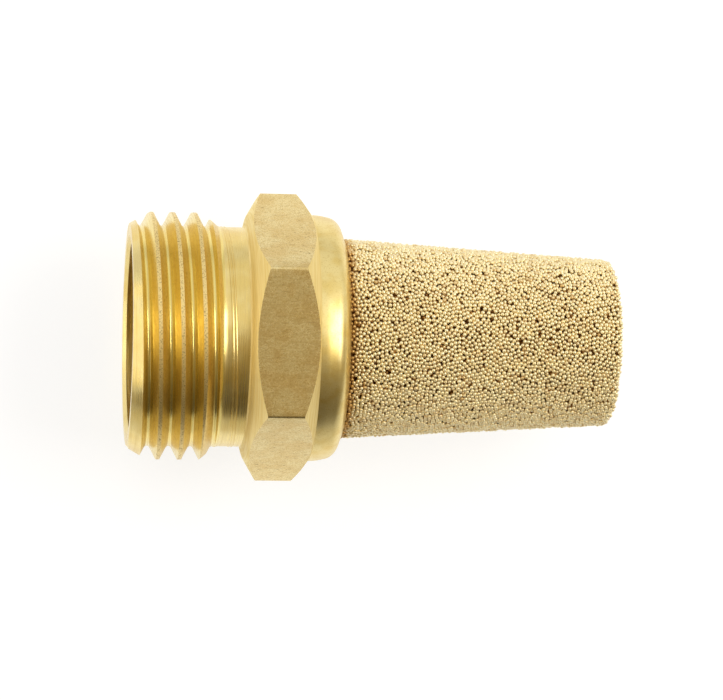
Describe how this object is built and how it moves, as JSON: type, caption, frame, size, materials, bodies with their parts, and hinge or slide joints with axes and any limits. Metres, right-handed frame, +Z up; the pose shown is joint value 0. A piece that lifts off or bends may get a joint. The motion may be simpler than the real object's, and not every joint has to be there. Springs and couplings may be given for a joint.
{
  "type": "pneumatic muffler",
  "caption": "Screw-in exhaust air muffler: a brass body with a male pipe thread and hexagon holds a tapered, closed cup of sintered bronze in a rolled lip.",
  "frame": {"origin": "centre of the inlet end face, on the common axis of thread, hexagon and cup", "axes": "+X along the axis from the inlet towards the closed end of the cup, +Z up and square to a flat of the hexagon, so the lowest flat is the face it lies on"},
  "size_m": [0.0408, 0.0242, 0.021],
  "materials": {
    "turned_brass": "turned and drawn bright brass, hexagon flats as drawn",
    "sintered_bronze": "sintered spherical bronze grains about 0.35 mm across, matt, open pores"
  },
  "bodies": {
    "root": {"threaded_body": "turned_brass", "sintered_cup": "sintered_bronze"}
  },
  "joints": []
}
